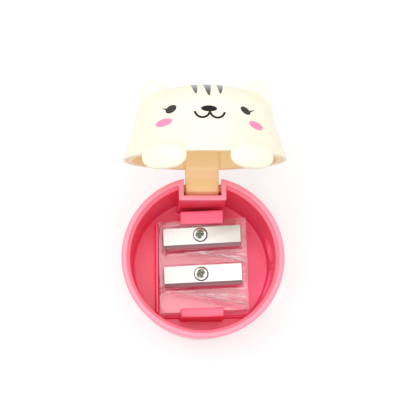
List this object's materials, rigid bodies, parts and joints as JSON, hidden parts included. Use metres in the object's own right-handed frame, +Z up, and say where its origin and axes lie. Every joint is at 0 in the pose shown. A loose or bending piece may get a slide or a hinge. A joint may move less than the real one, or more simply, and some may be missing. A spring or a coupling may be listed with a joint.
{
  "type": "pencil sharpener",
  "caption": "Round canister pencil sharpener with a clear angled block inside the cup and a hollow kitten-head lid that flips up on a rear hinge arm.",
  "frame": {"origin": "centre of the cup's flat underside, on the surface the sharpener stands on", "axes": "+Z up along the cup's axis; -Y is the front, opposite the hinge; the pencil holes are in the +X wall"},
  "size_m": [0.0486, 0.0721, 0.0667],
  "materials": {
    "cup_plastic": "moulded, satin gloss",
    "clear_plastic": "moulded clear, polished",
    "blade_steel": "ground, bright",
    "screw_steel": "nickel plated",
    "plate_plastic": "moulded, satin gloss",
    "head_plastic": "moulded, satin gloss, printed face"
  },
  "bodies": {
    "base": {"cup": "cup_plastic", "sharpener_block": "clear_plastic", "blade_small": "blade_steel", "blade_large": "blade_steel", "blade_screw_small": "screw_steel", "blade_screw_large": "screw_steel"},
    "lid": {"lid_plate": "plate_plastic", "head_shell": "head_plastic"}
  },
  "joints": [
    {"name": "lid_hinge", "type": "hinge", "parent": "base", "child": "lid", "pos_m": [0, 0.0213, 0.01864], "axis": [1, 0, 0], "range_deg": [0, 85]}
  ]
}
